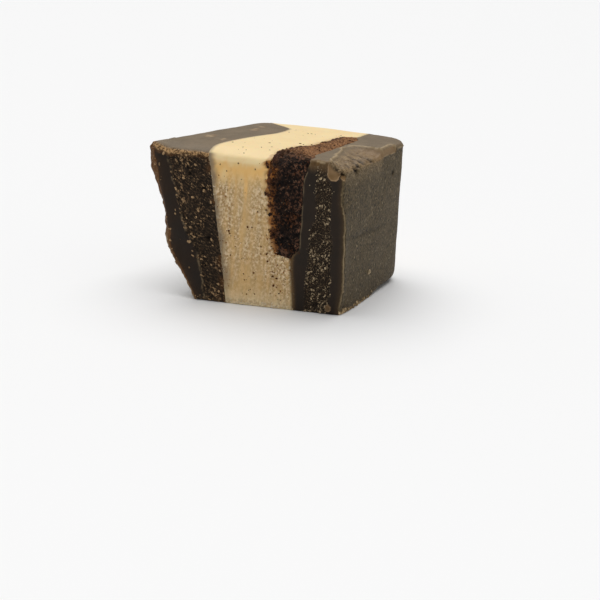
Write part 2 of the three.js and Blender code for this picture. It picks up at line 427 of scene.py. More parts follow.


# Chocolate fudge: a dark cut body, a skin with short upright streaks, a top painted paler as a sheen, a
# crumbled band full of tan flakes, painted shade in its hollows, and rims, smears and ridges where the marks
# say so
def chocolateMaterial(name, look):
    material, tree, shader = newMaterial(name, {"Specular IOR Level": 0.16})
    upright = objectSpots(tree, (1, 1, 1.5))
    lying = objectSpots(tree, look["flakeShape"], look["flakeTurn"])
    tone, streak = toneAt(tree, objectSpots(tree)), toneAt(tree, upright)
    flake, grain = flakesAt(tree, lying, *look["flake"]), flakesAt(tree, lying, *look["grain"])
    dust = flakesAt(tree, upright, *look["dust"])
    crumbled, skin, rim = mark(tree, "crumbled"), mark(tree, "skin"), mark(tree, "rim")
    body = blend(tree, tone["Cloud"], look["cut"], look["cutWarm"])
    skinTone = blend(tree, streak["Grain"], look["skin"], look["skinLight"])
    skinTone = blend(tree, times(tree, streak["Mottle"], 0.4), skinTone, look["skinLight"])
    skinTone = blend(tree, times(tree, dust["Mask"], 0.55), skinTone, look["ridge"])
    body = blend(tree, skin, body, skinTone)
    # painted sheen: top faces take a paler tone that stands for the reflection they catch from above
    capSheenTone = blend(tree, times(tree, tone["Cloud"], 0.8), look["cap"], look["capDark"])
    capSheenTone = blend(tree, times(tree, tone["Grain"], 0.14), capSheenTone, look["ridge"])
    body = blend(tree, mark(tree, "cap"), body, capSheenTone)
    crumbTone = blend(tree, times(tree, grain["Mask"], 0.8), look["crumb"], look["crumbLight"])
    flakeTone = blend(tree, flake["Tone"], look["fleckDark"], look["fleck"])
    shown = times(tree, flake["Mask"], between(tree, tone["Mottle"], 0.1, 0.7, 0.15, 1.0))
    crumbTone = blend(tree, shown, crumbTone, flakeTone)
    body = blend(tree, crumbled, body, crumbTone)
    warmTone = blend(tree, times(tree, flake["Mask"], 0.5), look["warm"], look["fleck"])
    body = blend(tree, mark(tree, "warm"), body, warmTone)
    rimTone = blend(tree, between(tree, tone["Grain"], 0.15, 0.75), look["rimDark"], look["rim"])
    body = blend(tree, rim, body, rimTone)
    smearTone = blend(tree, mark(tree, "pale"), look["smearDark"], look["smear"])
    body = blend(tree, mark(tree, "smear"), body, smearTone)
    # the pale ridge tone, in part a painted highlight on the right's front top edge, and near black painted
    # shade in pits, cracks and creases
    for label in ("ridge", "hollow"):
        body = blend(tree, mark(tree, label), body, look[label])
    feed(tree, shader.inputs["Base Color"], body)
    rough = maths(tree, "MAXIMUM", crumbled, rim)
    dull = between(tree, skin, 0.0, 1.0, look["roughCut"], look["roughSkin"])
    dull = maths(tree, "MAXIMUM", dull, times(tree, rough, look["roughCrumb"]))
    feed(tree, shader.inputs["Roughness"], dull)
    coarse = maths(tree, "ADD", maths(tree, "ADD", crumbled, rim), 0.08)
    relief = times(tree, maths(tree, "ADD", tone["Grain"], flake["Mask"]), coarse)
    streaks = times(tree, streak["Grain"], times(tree, skin, 0.8))
    addBump(tree, shader, maths(tree, "ADD", relief, streaks), *look["bump"])
    return material


creamLook = {
    "top": screen(247, 220, 165), "wax": screen(208, 174, 122), "amber": screen(246, 199, 124),
    "frost": screen(247, 226, 188), "frostDark": screen(178, 141, 91), "smudge": screen(130, 115, 97),
    # the foot tone is also painted as a highlight on the rounded top edge and as a glow low on the front
    "blur": screen(64, 46, 28), "foot": screen(254, 234, 190),
    "halo": screen(160, 102, 46), "haloDark": screen(66, 32, 13),
    "sugar": (2.3, 0.43, 0.2), "fine": (4.6, 0.5, 0.12),  # scale, level, softness
    "stripes": (0.9, 0.9, 9), "rough": (0.42, 0.62), "bump": (0.5, 0.00016),
}


# Cream fudge: pale on top, waxy beige on the front with amber streaks, a whitish grain, a grey smudge
# along the chocolate and a stain round the cookie, orange and then dark brown
def creamMaterial(name, look):
    material, tree, shader = newMaterial(name, {
        "Specular IOR Level": 0.2, "Subsurface Weight": 0.15, "Subsurface Scale": 0.001,
        "Subsurface Radius": (1.0, 0.6, 0.3)})
    spots = objectSpots(tree)
    tone, stripe = toneAt(tree, spots), toneAt(tree, objectSpots(tree, look["stripes"]))
    sugar = flakesAt(tree, objectSpots(tree, (1, 1, 1.3)), *look["sugar"])
    fine = flakesAt(tree, spots, *look["fine"])
    frost, wax = mark(tree, "frost"), mark(tree, "wax")
    body = blend(tree, wax, look["top"], look["wax"])
    striped = times(tree, times(tree, stripe["Mottle"], wax), 0.4)
    body = blend(tree, maths(tree, "MAXIMUM", mark(tree, "amber"), striped), body, look["amber"])
    sugarTone = blend(tree, sugar["Mask"], look["frostDark"], look["frost"])
    sugarTone = blend(tree, times(tree, fine["Mask"], 0.25), sugarTone, look["frost"])
    frosted = times(tree, frost, between(tree, stripe["Mottle"], 0.0, 1.0, 1.0, 0.55))
    body = blend(tree, frosted, body, sugarTone)
    # the foot tone: pale crumbs at the bottom edge, a painted highlight on the rounded top edge and a painted
    # glow low on the front
    for label in ("smudge", "blur", "foot"):
        body = blend(tree, mark(tree, label), body, look[label])
    halo = mark(tree, "halo")
    body = blend(tree, between(tree, halo, 0.0, 0.7), body, look["halo"])
    dark = times(tree, between(tree, halo, 0.35, 0.9), between(tree, tone["Mottle"], 0.25, 0.75))
    body = blend(tree, dark, body, look["haloDark"])
    body = blend(tree, times(tree, tone["Cloud"], 0.1), body, look["wax"])
    feed(tree, shader.inputs["Base Color"], body)
    feed(tree, shader.inputs["Roughness"], between(tree, frost, 0.0, 1.0, *look["rough"]))
    height = maths(tree, "ADD", sugar["Mask"], times(tree, fine["Mask"], 0.5))
    addBump(tree, shader, times(tree, height, frost), *look["bump"])
    return material


cookieLook = {
    "dark": screen(19, 12, 9), "brown": screen(132, 92, 70), "bit": screen(164, 134, 108),
    "topDark": screen(94, 60, 33), "top": screen(166, 118, 75), "crust": screen(66, 33, 19),
    # the last tone is painted shade, near black, for the pores
    "stain": screen(164, 106, 52), "stainDark": screen(74, 38, 16), "hollow": screen(7, 4, 3),
    "grain": (1.9, 0.47, 0.14), "bits": (2.9, 0.64, 0.05),  # scale, level, softness
    "bump": (0.7, 0.00015),
}


# Open cookie crumb: near black with brown grains, lighter on top with a dark outline, and painted shade,
# black, in its pores
def cookieMaterial(name, look):
    material, tree, shader = newMaterial(name, {"Specular IOR Level": 0.2, "Roughness": 0.85})
    spots = objectSpots(tree)
    tone, wide = toneAt(tree, spots), toneAt(tree, objectSpots(tree, (1.7, 1.7, 1.7)))
    grain, bits = flakesAt(tree, spots, *look["grain"]), flakesAt(tree, spots, *look["bits"])
    lit = maths(tree, "MAXIMUM", between(tree, wide["Mottle"], 0.4, 0.9, 0.1, 0.6), mark(tree, "brown"))
    body = blend(tree, times(tree, grain["Mask"], lit), look["dark"], look["brown"])
    top = blend(tree, between(tree, tone["Grain"], 0.1, 0.9), look["topDark"], look["top"])
    body = blend(tree, mark(tree, "open"), body, top)
    body = blend(tree, times(tree, bits["Mask"], 0.5), body, look["bit"])
    body = blend(tree, mark(tree, "crust"), body, look["crust"])
    stained = blend(tree, between(tree, wide["Grain"], 0.3, 0.65), look["stainDark"], look["stain"])
    body = blend(tree, mark(tree, "stain"), body, stained)
    # painted shade: near black in the pores
    body = blend(tree, mark(tree, "hollow"), body, look["hollow"])
    feed(tree, shader.inputs["Base Color"], body)
    addBump(tree, shader, maths(tree, "ADD", tone["Grain"], grain["Mask"]), *look["bump"])
    return material


# Loose bits: two tones mixed by each bit's own tone
def bitMaterial(name, low, high, roughness=0.85):
    material, tree, shader = newMaterial(name, {"Specular IOR Level": 0.2, "Roughness": roughness})
    tone = toneAt(tree, objectSpots(tree))
    uneven = between(tree, tone["Grain"], 0.0, 1.0, 0.6, 1.2)
    share = times(tree, mark(tree, "tone"), uneven, True)
    feed(tree, shader.inputs["Base Color"], blend(tree, share, low, high))
    return material


leftBlock = {
    "cells": (62, 150, 132),
    "bandEdge": ((0, -28.0), (5.3, -29.0), (8.9, -30.1), (12.5, -32.4), (15.6, -34.1), (20.4, -35.4),
                 (23.7, -36.9), (28.3, -38.0)),
    "wobble": 0.25, "sunk": 0.16, "slant": 55.0,
    "footRound": 0.8, "topRound": 1.7, "roundSpan": (1.0, 5.0),  # at the skin, to that far from it
    "sag": 0.85, "sagSpan": (0.8, 5.0), "sagReach": 4.0,
    "bulge": (0.7, 24.3, 3.6),  # how far, the height of its middle and its half width
    "bulgeDeep": (-1.0, 5.0),  # the same from front to back
    "rimHeight": 29.2, "rimFade": 0.35, "rimStart": (0.6, 2.2),  # that far from the skin
    "rimWidth": ((0, 0.8), (4, 0.95), (7, 1.3), (10.5, 1.25), (12.4, 1.9), (14.5, 1.05), (18, 0.8),
                 (22.5, 1.15), (25, 1.65), (30, 1.9)),
    "lipWidth": 0.7, "lipTop": 14, "lipFade": 4,
    "pits": ((-29.8, 22.1, 0.55), (-28.1, 12.4, 0.5), (-33.0, 24.8, 0.35), (-28.4, 7.0, 0.4)),
    "ovals": ((-34.4, 11.0, 1.2, 1.9), (-30.2, 8.8, 0.65, 1.0), (-40.0, 5.4, 0.4, 1.8),
              (-29.3, 23.6, 0.9, 2.0), (-29.3, 27.7, 1.0, 0.8)),
}


def leftEnds(b, c):
    return leftSkin(b, c), leftJoint(b, c) + block["lap"]


# Left chocolate: smooth near its skin, crumbled from a wavering line to the cream, with a tan rim along
# the top edge, a brown one along the left edge with a pale lip low down, and tan ovals pressed into the top
def leftChocolate(x, b, c):
    spec = leftBlock
    start, end = leftEnds(b, c)
    fromJoint = end - x
    fromSkin = ramp(x - start, *spec["roundSpan"])
    topRound = mix(spec["topRound"], block["edgeTop"], fromSkin)
    footRound = mix(spec["footRound"], block["edgeBottom"], fromSkin)
    spots, outward, near, share = carry(x, b, c, topRound, footRound)
    side = facing(outward)
    front = side["front"]
    x, y, z = spots.T
    outX, outY, outZ = outward.T
    frontish, leftish = ramp(-outY, 0.02, 0.3), ramp(-outX, 0.3, 0.6)
    patchy, fine = cloud(spots, 1.1, 8), cloud(spots, 0.5, 9)
    edgeLine = along(z, spec["bandEdge"]) + spec["wobble"] * cloud(spots, 1.4, 1) + 0.12 * fine
    crumbled = front * ramp(x - edgeLine, -0.15, 0.25)
    slanted = spots @ slantTurn(spec["slant"])
    crags = 0.2 * cloud(slanted, (0.9, 0.9, 2.4), 2) + 0.12 * cloud(slanted, (0.3, 0.3, 0.9), 4)
    crags += 0.2 * lumpy(slanted, (0.7, 0.7, 1.6), 3)
    pits = crumbled * dents(x, z, spec["pits"])
    rimLine = spec["rimHeight"] + 0.4 * patchy + 0.2 * fine
    rimmed = ramp(z - rimLine, 0, spec["rimFade"])
    edgeX = leftSkin(0 * z, z / pieceHeight)
    topRim = frontish * rimmed * fade(outZ, 0.75, 0.98) * mix(0.25, 1, ramp(x - edgeX, *spec["rimStart"]))
    underRim = frontish * ramp(z - rimLine, -0.9, -0.1) * (1 - rimmed)
    rimInner = edgeX + along(z, spec["rimWidth"]) * (1 + 0.2 * patchy) + 0.1 * fine
    sideRim = frontish * np.maximum(ramp(rimInner - x, -0.12, 0.12), leftish)
    lip = sideRim * np.maximum(ramp(edgeX + spec["lipWidth"] + 0.1 * fine - x, 0, 0.15), leftish)
    lip *= ramp(spec["lipTop"] - z, 0, spec["lipFade"])
    beside = front * (1 - sideRim) * np.exp(-np.maximum(0, x - rimInner) / 0.7)
    ovals = np.zeros(len(x))
    for ovalX, ovalY, halfX, halfY in spec["ovals"]:
        out = np.hypot((x - ovalX) / halfX, (y - ovalY) / halfY) + 0.5 * cloud(spots, 0.7, 10) + 0.2 * fine
        ovals = np.maximum(ovals, side["top"] * ramp(-out, -1.0, -0.6))
    nearJoint = crumbled * bell(fromJoint, 0, 0.9) * ramp(cloud(spots, 1.5, 11), -0.2, 0.5)
    ridge = crumbled * bell(x, edgeLine + 0.1, 0.14) * ramp(fine + patchy, -0.6, 0.4)
    smooth = skinWaves(spots) * (1 - front) + knifeDrag(spots) * front
    height = mix(smooth, crags - spec["sunk"], crumbled * (1 - topRim))
    height += topRim * (0.24 * fine + 0.18 * patchy) + sideRim * (0.18 * fine + 0.2 * patchy) + 0.2 * lip
    height += 0.12 * ovals - 0.55 * pits
    bulge = spec["bulge"][0] * bell(z, *spec["bulge"][1:])
    height += bulge * bell(y, *spec["bulgeDeep"]) * ramp(-outX, 0.2, 0.8)
    height *= 1 - side["bottom"]
    spots = spots + outward * (height * near)[:, None]
    spots[:, 2] -= frontSag(spots, share, spec["sag"] * ramp(x - start, *spec["sagSpan"]), spec["sagReach"])
    marks = {
        "crumbled": crumbled * (1 - topRim), "rim": topRim,
        "warm": np.max([0.9 * sideRim, 0.2 * beside, 0.75 * nearJoint, 0.45 * underRim, 0.6 * ovals], axis=0),
        # the top faces are painted paler: a painted sheen
        "skin": ramp(-outX, 0.2, 0.7) * (1 - frontish), "cap": side["top"],
        "ridge": np.max([0.6 * ridge, ovals * (0.5 + 0.5 * fine), 0.7 * lip], axis=0),
        # painted shade, near black, in the crags and pits
        "hollow": np.clip(crumbled * ramp(-crags, 0.08, 0.32) * 0.75 + pits, 0, 1) * (1 - topRim),
    }
    return spots, outward, marks


cookieChunk = {
    "cells": (48, 120, 96), "crowding": 0.0, "length": 28.5, "depth": 20.0, "power": 2.6, "rim": 8,
    "left": (5.8, 3.5), "leftStep": (10.5, 15.0), "leftRim": 0.6, "right": 1.6, "rightRim": 0.3,
    "spill": 0.9, "spillTo": 4.5,  # over the right chocolate's front top corner
    "ragged": (0.45, 0.4), "edgeTop": 1.6, "sunk": 0.2, "overlap": 0.15, "sag": 1.2, "sagReach": 5.0,
    "stain": ((0, 0.14), (5, 0.12), (9, 0.06), (20, 0.05)),  # its width by the depth below the top
    "lump": ((0, 0.3), (0.1, 0.85), (0.35, 1.0), (0.55, 0.8), (0.7, 0.35), (1, 0)),  # height across
    "lumpsAt": (3.2, 2.6), "lumpsDown": 3.0, "lumpHeights": (1.7, 0.8), "lumpBase": 0.4,
    "corner": (5.5, 0.6),  # the dark front left of its top: how far back and how far across
    "brownDown": 3.5, "brownBack": 6.0, "openFrom": (-0.5, 5.0), "crust": (0.15, 0.06),  # left and right
}


# How far out a place is in the cookie's quarter of a superellipse, 1 on its rim
def cookieReach(y, down):
    power = cookieChunk["power"]
    lengths = np.maximum(y, 0) / cookieChunk["length"]
    depths = np.maximum(down, 0) / cookieChunk["depth"]
    return (lengths ** power + depths ** power) ** (1 / power)


# How far the cookie reaches to the left and right of the joint, ragged on the left and blunt at its rim
def cookieSides(y, down):
    spec = cookieChunk
    blunt = np.sqrt(np.maximum(0, 1 - np.minimum(cookieReach(y, down), 1) ** spec["rim"]))
    step = np.maximum(ramp(y, *spec["leftStep"]), down / spec["depth"])
    flat = np.stack([np.zeros(len(y)), y, down], axis=1)
    ragged = spec["ragged"][0] * cloud(flat, 1.9, 20) + spec["ragged"][1] * cloud(flat, 0.7, 21)
    ragged *= mix(0.5, 1, ramp(down, 0, 3))
    left = (mix(*spec["left"], np.clip(step, 0, 1)) + ragged) * mix(spec["leftRim"], 1, blunt)
    right = mix(spec["rightRim"], spec["right"] + 0.2 * cloud(flat, 2.6, 22), blunt)
    spill = ramp(spec["spillTo"] - down, 0, 4) * ramp(spec["spillTo"] - y, 0, 3.5)
    right += spec["spill"] * spill * (1 + 0.6 * cloud(flat, 0.9, 63))
    return left, right


def inSocket(b, c, spec):  # 1 where the cookie sits, 0 past its rim
    return fade(cookieReach(b * pieceDepth, (1 - c) * pieceHeight), *spec["socket"])


def asShare(b, c):
    return 0.0, 1.0


# The square of grid shares is drawn in to a quarter of a superellipse below the front top edge
def cookieBody(s, t, v):
    spec = cookieChunk
    u, w = t, 1 - v
    radius = (u ** spec["power"] + w ** spec["power"]) ** (1 / spec["power"])
    scale = np.where(radius > 0, np.maximum(u, w) / np.maximum(radius, 1e-9), 1)
    y, down = u * scale * spec["length"], w * scale * spec["depth"]
    b, c = y / pieceDepth, 1 - down / pieceHeight
    left, right = cookieSides(y, down)
    joint = rightJoint(b, c)
    x = mix(joint - left - spec["overlap"], joint + right + spec["overlap"], s)
    spots, outward, near, share = carry(x, b, c, spec["edgeTop"])
    side = facing(outward)
    onTop = side["top"]
    crumb = 0.32 * lumpy(spots, 1.25, 23) + 0.2 * cloud(spots, 1.7, 24)
    crumb += 0.26 * lumpy(spots, 0.6, 25) + 0.1 * cloud(spots, 0.35, 26)
    height = crumb * mix(1, 0.5, onTop) - spec["sunk"] * mix(1, 0.5, onTop)
    spots = spots + outward * (height * near)[:, None]
    corner = ramp(spec["corner"][0] - y, 0, 3.5) * ramp(spec["corner"][1] - s, 0, 0.35)
    lumps = bell(y, *spec["lumpsAt"]) * ramp(spec["lumpsDown"] - down, 0, 2) * along(s, spec["lump"])
    large, small = spec["lumpHeights"]
    spots[:, 2] += lumps * (large * grit(spots, 1.6, 27) + small * grit(spots, 0.7, 62) - spec["lumpBase"])
    spots[:, 2] -= frontSag(spots, share, spec["sag"] * ramp(0.6 - s, 0, 0.5), spec["sagReach"])
    brown = ramp(s, 0.5, 1.0) + ramp(spec["brownDown"] - down, 0, 3)
    brown = np.maximum((1 - onTop) * np.clip(brown, 0, 1), onTop * ramp(spec["brownBack"] - y, 0, 4))
    brown *= ramp(cloud(spots, 0.8, 29) + crumb, -0.5, 0.4) * (1 - 0.6 * corner)
    stain = along(down, spec["stain"]) + 0.12 * cloud(spots, 1.2, 61)
    stain = (1 - onTop) * ramp(stain - s, -0.08, 0.12)
    crust = onTop * np.maximum(bell(s, 0, spec["crust"][0]), 0.6 * bell(s, 1, spec["crust"][1]))
    marks = {
        "open": onTop * ramp(y, *spec["openFrom"]) * (1 - 0.75 * corner), "brown": brown,
        "crust": crust * ramp(cloud(spots, 0.9, 28), -0.8, 0.1), "stain": stain,
        # painted shade, near black, in the crumb's pores, less on the top
        "hollow": ramp(-crumb, 0.04, 0.26) * mix(0.9, 0.45, onTop) * (1 - 0.6 * stain),
    }
    return spots, outward, marks


creamBlock = {
    "cells": (66, 150, 132), "edgeTop": 1.25, "edgeBlend": 3.2, "socket": (0.955, 1.0),
    "sag": 1.3, "sagReach": (4.0, 5.5), "strip": (0.0, 1.8), "blur": 0.8, "halo": 1.15,
    "frostTop": 26.4, "frostFade": 4.4, "frostLow": 9.0, "frostFoot": 1.6, "waxFade": 4.5, "waxLow": 5.0,
    "amberBand": (26.9, 2.1), "amberLow": (24.0, 3.0),  # middle height and half width
    "amberFoot": 10.0, "amberStreaks": (12.0, 23.0), "amberTop": 28.0,
    "waxyStreak": (-21.0, 1.5), "waxyFoot": (-19.5, 3.2),  # the same across, where the grain is thin
    "waxyFrom": (8, 14), "waxyTo": 11.0,
    "besideRight": (1.6, 1.1), "besideTo": 11.0,  # a strip with more grain, off the right joint
    "footGlow": 0.32, "footGlowTo": 4.0, "smudgeFrom": (2, 9), "haloFrom": (14, 24),
}


def creamEnds(b, c):
    left, right = cookieSides(b * pieceDepth, (1 - c) * pieceHeight)
    cut = left * inSocket(b, c, creamBlock)
    return leftJoint(b, c) - block["lap"], rightJoint(b, c) + block["lap"] - cut


# Cream: fills from the left joint to the right one, less the cookie. The front is finely grained with
# upright streaks, and its top edge is rounder than the chocolate's.
def creamBody(x, b, c):
    spec = creamBlock
    start, end = creamEnds(b, c)
    within = inSocket(b, c, spec)
    fromLeft, fromRight = x - start, end - x
    softness = ramp(np.minimum(fromLeft, fromRight), 0, spec["edgeBlend"])
    spots, outward, near, share = carry(x, b, c, mix(block["edgeTop"], spec["edgeTop"], softness))
    side = facing(outward)
    front = side["front"]
    x, y, z = spots.T
    outY, outZ = outward.T[1:]
    frontish, low = ramp(-outY, 0.1, 0.6), ramp(-outY, 0.1, 0.5)
    streak = cloud(spots, (0.9, 0.9, 9.0), 30) + 0.5 * cloud(spots, (0.4, 0.4, 5.0), 31)
    patch, grain = cloud(spots, 2.2, 32), cloud(spots, 0.45, 33)
    frost = front * ramp(spec["frostTop"] - z + 1.0 * patch + 2.0 * streak, 0, spec["frostFade"])
    frost *= 1 - 0.45 * ramp(spec["frostLow"] - z, 0, 6)
    frost *= 0.85 - 0.35 * streak + 0.35 * patch
    frost += front * ramp(spec["frostFoot"] - z, 0, 1.2)
    waxy = 0.6 * bell(x, *spec["waxyStreak"]) * ramp(z, *spec["waxyFrom"])
    waxy += 0.7 * bell(x, *spec["waxyFoot"]) * ramp(spec["waxyTo"] - z, 0, 4)
    frost *= 1 - np.clip(waxy * (0.8 + 0.4 * streak + 0.4 * patch), 0, 1) * ramp(z, 1.2, 2.5)
    beside = bell(fromRight + 0.4 * patch, *spec["besideRight"])
    frost += 0.6 * front * (1 - within) * beside * ramp(spec["besideTo"] - z, 0, 3)
    frost = np.clip(frost, 0, 1)
    amber = frontish * bell(z + 0.8 * patch + 1.3 * streak, *spec["amberBand"]) * 0.85
    streaks = front * ramp(streak, 0.1, 0.8) * ramp(z, *spec["amberStreaks"])
    amber += streaks * ramp(spec["amberTop"] - z, 0, 3) * 0.6
    amber += front * ramp(spec["amberFoot"] - z, 0, 6) * (0.15 + 0.2 * streak)
    amber += 0.25 * front * bell(z + 0.5 * patch, *spec["amberLow"])
    wax = front * ramp(spec["frostTop"] - z + 0.5 * patch, 0, spec["waxFade"])
    wax *= 1 - 0.5 * ramp(spec["waxLow"] - z, 0, 5)
    strip = fade(fromLeft + 0.5 * patch + 0.15 * grain, *spec["strip"]) * frontish
    blur = (1 - within) * fade(fromRight, 0, spec["blur"]) * front
    edge = within * bell(np.maximum(fromRight + 0.35 * patch + 0.15 * grain, 0), 0, spec["halo"])
    stain = edge * np.maximum(ramp(cloud(spots, 0.9, 34) + 0.5 * grain, -0.8, 0.2), ramp(edge, 0.5, 0.9))
    height = front * (0.06 * grain * frost + 0.05 * streak + 0.04 * patch - 0.05)
    height += (1 - front) * skinWaves(spots) - 0.1 * stain
    height *= 1 - side["bottom"]
    spots = spots + outward * (height * near)[:, None]
    sag = spec["sag"] * mix(0.65, 1, softness)
    spots[:, 2] -= frontSag(spots, share, sag, mix(*spec["sagReach"], softness))
    # whitish crumbs along the bottom edge, a painted highlight on the front's rounded top edge where shading
    # darkens it, and a painted glow that makes the front lighter towards the bottom
    foot = np.max([
        low * ramp(0.55 + 0.4 * patch + 0.5 * grain - z, 0, 0.5) * (1 - blur),
        0.3 * bell(outZ, 0.65, 0.3) * low * (1 - strip),
        spec["footGlow"] * front * ramp(spec["footGlowTo"] - z + 0.8 * patch, 0, 3) * (1 - blur)], axis=0)
    fromJoints = np.minimum(fromLeft, fromRight + 9 * within) + 0.15 * patch
    smudge = strip * mix(0.55, 0.9, ramp(z, *spec["smudgeFrom"]))
    smudge = np.maximum(smudge, 0.6 * side["top"] * fade(fromJoints, 0, 0.9))
    marks = {
        "frost": frost, "amber": amber, "wax": wax, "smudge": smudge, "blur": 0.95 * blur, "foot": foot,
        "halo": stain * mix(0.35, 1.0, front) * mix(0.75, 1.0, ramp(z, *spec["haloFrom"])),
    }
    return spots, outward, marks


rightBlock = {
    "cells": (58, 150, 132), "socket": (0.88, 0.98), "sunk": 0.14,
    "footRound": 2.6, "footBack": (0.4, 0.7), "footSpan": (5.0, 1.0),  # at the back of the skin
    "bandLeft": ((0, -7.6), (9, -7.6), (16, -7.4), (19, -6.2), (26, -6.8)),
    "bandRight": ((0, -2.6), (14, -2.7), (18, -3.5), (25, -3.4), (28, -5.0)),
    "edgeShift": ((0, -0.5), (2.6, -0.3), (5, 0.2), (12, 0.4), (18.6, 0.45), (20.2, 0.2), (22.2, -0.35),
                  (28, 0)),
    "edgeReach": 2.2,
    "chipInner": ((0, -4.2), (6, -5.2), (10, -5.6), (14, -6.5), (16, -6.1), (18.2, -5.0), (19, -3),
                  (19.6, 0.2), (25.3, 0.5), (26.3, 3.2), (30, 6)),
    "chipDrop": (1.5, 0.9), "chipPower": (0.8, 1.5), "chipBreak": (17.5, 19.5),
    "bevel": (7, 21),  # from where to where the chip turns smooth and tan
    "chipRimEnd": (9, 18), "footRimEnd": (14, 20), "smearTop": (27.6, 28.6), "fadeTop": (24.0, 29.0),
    # the pale front top edge is tan crumbs in part and in part a painted highlight
    "edgeFrom": (-9.5, -8.0),  # where the front top edge turns pale
    "drips": ((-3.2, 1.35, 27.7, 1.45), (-1.35, 0.42, 27.5, 0.9)),  # middle, half width, foot's centre, fall
    "fringe": (-9.0, -4.0, 28.1),  # from, to and the height of its ends
    "curl": (-2.6, 1.3, 0.75),  # middle and radius
    "pits": ((4.8, 28.0, 0.55), (5.6, 27.7, 0.4), (6.9, 28.6, 0.5), (9.6, 28.9, 0.55), (13.2, 28.8, 0.6),
             (24.3, 24.7, 0.45)),
    "cornerPit": (-1.5, -0.3, 28.4, 0.55),
    "crease": ((1.5, 15.0), (8.2, 14.7), (14.5, 14.3), (23.3, 14.2)),
    "creaseStart": (0.5, 4), "creaseEnd": (19, 25),
    "lipPower": 11.0, "lipFoot": (0.5, 2.5), "lipThin": (20.5, 22.5), "lipEnd": (25.5, 27.0),
    "lipPale": (12.0, 7.0),  # middle height and half width
}


def rightEnds(b, c):
    left, right = cookieSides(b * pieceDepth, (1 - c) * pieceHeight)
    cut = right * inSocket(b, c, rightBlock)
    return rightJoint(b, c) - block["lap"] + cut, rightSkin(b, c)


# The chip's slope: nothing inside its inner edge, which wanders inwards to a break, and the whole drop
# at the right skin. Gives the share of the way down and how near the inner edge it is.
def chipSlope(x, y, spec):
    flat = np.stack([x, y, np.zeros(len(x))], axis=1)
    inner = along(y, spec["chipInner"]) + 0.3 * cloud(flat, 2.4, 44) + 0.25 * cloud(flat, 0.9, 45)
    slope = (along(y + 0.2, spec["chipInner"]) - along(y - 0.2, spec["chipInner"])) / 0.4
    width = np.maximum(rightSkin(y / pieceDepth, 1) - inner, 0.6)
    return np.clip((x - inner) / width, 0, 1), bell(x, inner - 0.05, 0.25 * np.hypot(1, slope))


# What hangs over the front: drips with round feet, and the curl at the bottom, above 0 inside them
def hangingOver(x, z, spec):
    curlX, curlZ, curlHalf = spec["curl"]
    inside = 1 - np.hypot(x - curlX, z - curlZ) / curlHalf
    for middle, half, foot, fall in spec["drips"]:
        drip = 1 - np.hypot((x - middle) / half, np.minimum(z - foot, 0) / fall)
        inside = np.maximum(inside, drip)
    return inside


